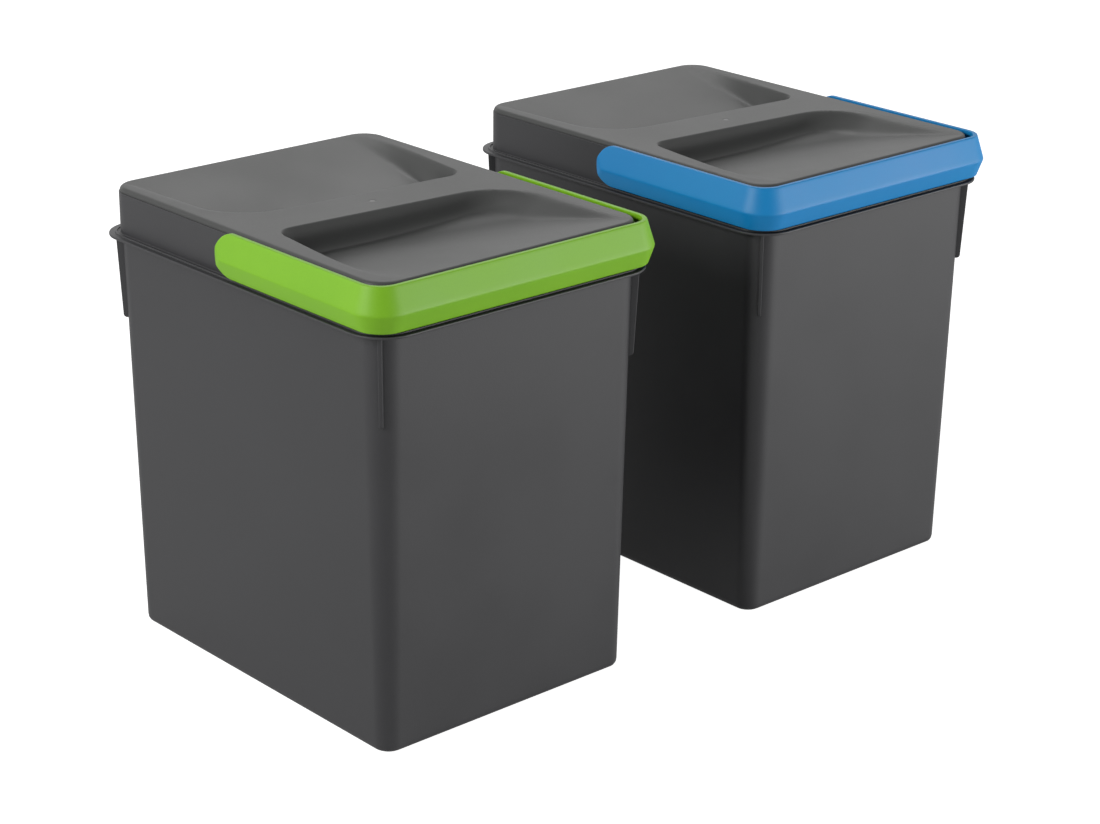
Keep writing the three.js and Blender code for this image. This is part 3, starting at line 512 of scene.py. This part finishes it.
def handle_body():
    """The band: at each place along its plan line, a ring of points goes up its outer face and
    down its back. The outer face is the least of two slopes that meet at the ridge and the bevel
    of the arm's end, less a quarter round along the edge. The back is flat, and hollow down to
    the wall's thickness, save for a margin and the arms' ends."""
    reach_x, reach_y = HALF_WIDTH + HANDLE_GAP, HALF_DEPTH + HANDLE_GAP
    # distance along one arm, from its tip to the middle of the front; the first ring stays a
    # little open, so that a face can close it
    tip = HANDLE_HALF * (1 - np.sin(np.linspace(np.pi / 2, 0, 26)[:-1]))
    tip[0] = 0.004
    arm = TAIL + reach_y - HANDLE_CORNER
    turn_length = HANDLE_CORNER * np.pi / 2
    front = arm + turn_length
    along = np.concatenate([
        tip, [HANDLE_HALF, 14, 20], HOLLOW_START + np.array([-0.3, 0.3, 0.8]), [40, arm - 1],
        arm + turn_length * np.linspace(0, 1, 15), [front + 1, front + reach_x - HANDLE_CORNER],
    ])
    on_turn = np.clip((along - arm) / turn_length, 0, 1) * np.pi / 2
    x = reach_x - HANDLE_CORNER * (1 - np.cos(on_turn)) - np.clip(along - front, 0, None)
    y = TAIL - np.minimum(along, arm) - HANDLE_CORNER * np.sin(on_turn)
    out_x, out_y = np.cos(on_turn), -np.sin(on_turn)
    x, out_x = np.concatenate([x, -x[-2::-1]]), np.concatenate([out_x, -out_x[-2::-1]])
    y, out_y = np.concatenate([y, y[-2::-1]]), np.concatenate([out_y, out_y[-2::-1]])
    along = np.concatenate([along, along[-2::-1]])[:, None]
    # half height of the band there, and its rows from edge to edge
    half = np.sqrt(np.clip(HANDLE_HALF**2 - np.clip(HANDLE_HALF - along, 0, None) ** 2, 0, None))
    edge = EDGE_ROUND * (1 - np.cos(np.linspace(0, np.pi / 2, 8)))
    near_edge = np.concatenate([edge, [1.6], HOLLOW_MARGIN + np.array([-0.25, 0, 0.25]), [6.5]])
    near_ridge = RIDGE_HEIGHT + np.array([-0.8, 0, 0.8, 2.8, 5.2])
    level = np.concatenate([-HANDLE_HALF + near_edge, near_ridge, HANDLE_HALF - near_edge[::-1]])
    z = level[None, :] * half / HANDLE_HALF
    from_tip = np.clip(HANDLE_HALF - along, 0, None)
    inside = np.clip(HANDLE_HALF - np.hypot(from_tip, z), 0, None)
    upper = TOP_OUT + (RIDGE_OUT - TOP_OUT) * (HANDLE_HALF - z) / (HANDLE_HALF - RIDGE_HEIGHT)
    lower = BOTTOM_OUT + (RIDGE_OUT - BOTTOM_OUT) * (z + HANDLE_HALF) / (HANDLE_HALF + RIDGE_HEIGHT)
    face = soft_least(upper, lower, RIDGE_SOFT)
    bevel = END_OUT + (RIDGE_OUT - END_OUT) * along / END_BEVEL + 0 * z
    face = soft_least(face, bevel, BEVEL_SOFT)
    off = np.clip(1 - inside / EDGE_ROUND, 0, 1)
    outer = face - EDGE_ROUND * (1 - np.sqrt(1 - off**2))
    # the hollow drops to its depth within 0.6 mm at its ends and 0.3 mm along its edges
    past_start = np.clip((along - HOLLOW_START) / 0.6 + 0.5, 0, 1)
    past_margin = np.clip((inside - HOLLOW_MARGIN) / 0.3 + 0.5, 0, 1)
    hollow = past_start * past_margin * np.clip(face - HANDLE_WALL, 0, None)
    off = np.clip(1 - inside / BACK_ROUND, 0, 1)
    back = BACK_ROUND * (1 - np.sqrt(1 - off**2)) + hollow
    out = np.concatenate([outer, back[:, -2:0:-1]], 1)
    z = np.concatenate([z, z[:, -2:0:-1]], 1)
    x, y = x[:, None] + out_x[:, None] * out, y[:, None] + out_y[:, None] * out
    points, faces = closed_body(np.stack([x, y, PIVOT_HEIGHT + z], -1))
    # the plan line runs clockwise, so the faces are listed the other way round
    return points, [face[::-1] for face in faces]


def stud(side):
    """A pivot stud: from inside the arm to a chamfered tip past the collar wall."""
    tip = HALF_WIDTH - WALL - STUD_REACH
    reach = side * np.array([HALF_WIDTH + HANDLE_GAP + STUD_ROOT, tip + STUD_CHAMFER, tip])
    return turned(reach, [STUD_RADIUS, STUD_RADIUS, STUD_RADIUS - STUD_CHAMFER], 40)


handle_skins = {
    "green": moulded_polypropylene("moulded_polypropylene_green", "#84c618", "#8ccc22", 0.00002),
    "blue": moulded_polypropylene("moulded_polypropylene_blue", "#008cd4", "#0492d8", 0.00002),
}

for bin_name in BIN_MIDDLES:
    band_and_studs = join([handle_body(), stud(1), stud(-1)])
    handle = make_piece(bin_name + "_handle", bin_name, *band_and_studs,
                        handle_skins[bin_name], sharp=40)
    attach(handle, bin_name + "_handle")
    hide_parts(bin_name + "_bin_handle")


# ---------- Studio ----------
# A white floor without a horizon, with a softbox high on the left, a low broad one in front on
# the right and a weak one high at the back. White board and fabric, none of it part of the bins.

floor_mesh = bpy.data.meshes.new("studio_floor")
floor_mesh.from_pydata([(-6, -6, 0), (6, -6, 0), (6, 6, 0), (-6, 6, 0)], [], [(0, 1, 2, 3)])
floor = bpy.data.objects.new("studio_floor", floor_mesh)
bpy.context.scene.collection.objects.link(floor)
white_board = bpy.data.materials.new("white_board")
white_board.use_nodes = True
tree = white_board.node_tree
tree.nodes.clear()
rays = add_node(tree, "ShaderNodeLightPath", {}, {})
board = add_node(tree, "ShaderNodeBsdfDiffuse", {}, {"Color": linear("#c8c8c8")})
straight = add_node(tree, "ShaderNodeMath", {"operation": "ADD"}, {
    0: rays.outputs["Is Camera Ray"], 1: rays.outputs["Is Transmission Ray"]})
# a reflection shows the board's own lit colour too, so a weaker share makes up white there
white = add_node(tree, "ShaderNodeMath", {"operation": "MULTIPLY_ADD"}, {
    0: rays.outputs["Is Glossy Ray"], 1: 0.35, 2: straight.outputs[0]})
seen = add_node(tree, "ShaderNodeEmission", {}, {"Strength": white.outputs[0]})
total = add_node(tree, "ShaderNodeAddShader", {}, {0: board.outputs[0], 1: seen.outputs[0]})
add_node(tree, "ShaderNodeOutputMaterial", {}, {"Surface": total.outputs[0]})
floor_mesh.materials.append(white_board)

world = bpy.data.worlds.new("studio")
bpy.context.scene.world = world
world.use_nodes = True
tree = world.node_tree
tree.nodes.clear()
rays = add_node(tree, "ShaderNodeLightPath", {}, {})
straight = add_node(tree, "ShaderNodeMath", {"operation": "ADD"}, {
    0: rays.outputs["Is Camera Ray"], 1: rays.outputs["Is Transmission Ray"]})
white = add_node(tree, "ShaderNodeMath", {"operation": "ADD", "use_clamp": True}, {
    0: straight.outputs[0], 1: rays.outputs["Is Glossy Ray"]})
room = add_node(tree, "ShaderNodeBackground", {}, {"Color": linear("#ffffff"), "Strength": 0.12})
paper = add_node(tree, "ShaderNodeBackground", {}, {"Color": linear("#ffffff"), "Strength": 1.0})
shown = add_node(tree, "ShaderNodeMixShader", {}, {
    0: white.outputs[0], 1: room.outputs[0], 2: paper.outputs[0]})
add_node(tree, "ShaderNodeOutputWorld", {}, {"Surface": shown.outputs[0]})


def softbox(name, place, aim, width, height, power):
    """A rectangular softbox at a place, turned so that it shines at the aim point."""
    light = bpy.data.lights.new(name, "AREA")
    light.shape, light.size, light.size_y, light.energy = "RECTANGLE", width, height, power
    box = bpy.data.objects.new(name, light)
    bpy.context.scene.collection.objects.link(box)
    back = np.array(place) - np.array(aim)
    back /= np.linalg.norm(back)
    side = np.cross((0, 0, 1), back)
    side /= np.linalg.norm(side)
    box.matrix_world = axes_at(side, np.cross(back, side), back, place)


softbox("back", (1.0, 1.0, 1.8), (0, 0, 0.25), 1.0, 0.8, 8)
softbox("left", (-1.9, 0.3, 1.1), (0, 0, 0.15), 1.0, 0.8, 25)
softbox("front", (1.4, -1.9, 0.2), (0, 0, 0.15), 2.0, 0.4, 32)

bpy.context.scene.view_settings.view_transform = "Standard"
